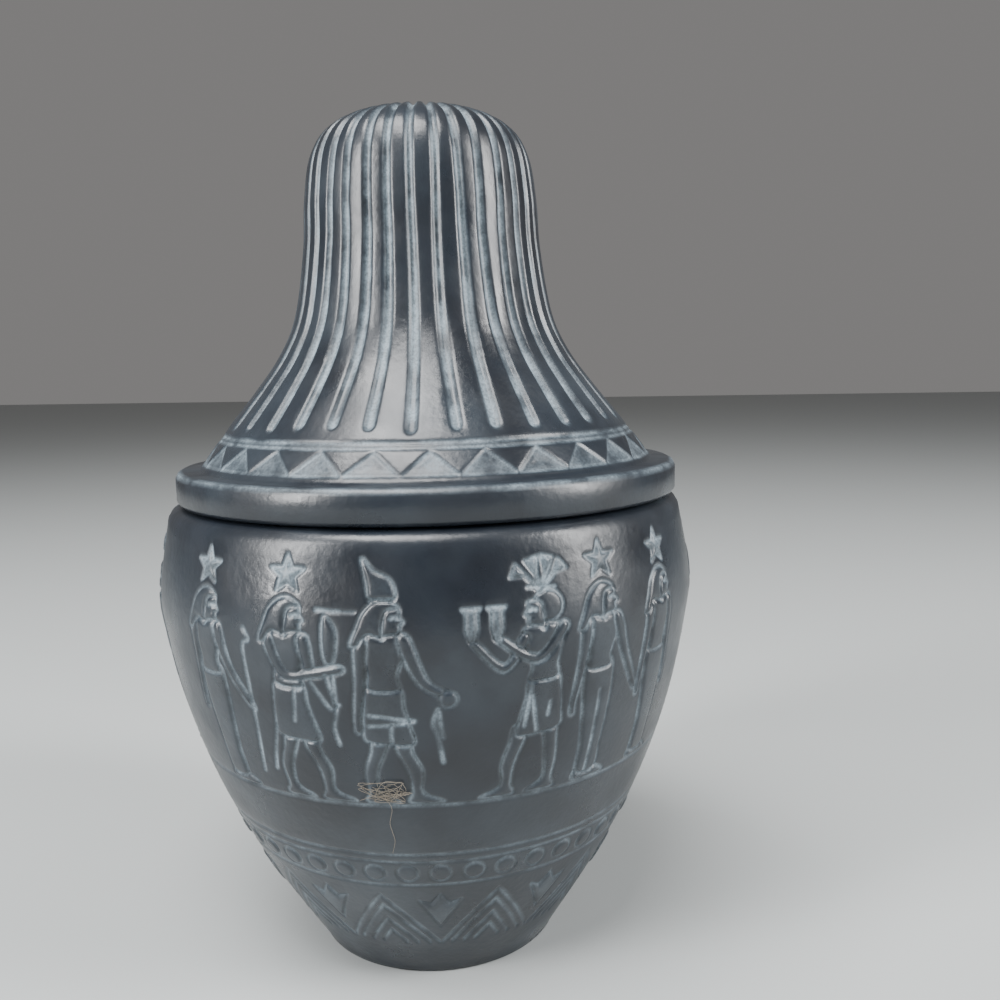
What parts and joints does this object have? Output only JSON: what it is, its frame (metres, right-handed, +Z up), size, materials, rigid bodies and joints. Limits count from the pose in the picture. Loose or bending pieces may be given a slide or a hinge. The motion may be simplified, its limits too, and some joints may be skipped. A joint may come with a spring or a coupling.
{
  "type": "canopic jar",
  "caption": "Lidded jar in the Egyptian canopic form, with a frieze of figures in low relief and a stopper shaped as a head in a striped wig.",
  "frame": {"origin": "centre of the underside of the foot, on the surface the jar stands on", "axes": "+Z up along the axis of the jar, -Y towards the face of the stopper, +X to the viewer's right when facing the face"},
  "size_m": [0.0914, 0.0913, 0.1418],
  "materials": {
    "cast_stone": "dark slate cast stone, waxed to a satin sheen, with a pale wash left in the cut lines and hollows"
  },
  "bodies": {
    "root": {"jar": "cast_stone", "lid": "cast_stone"}
  },
  "joints": []
}
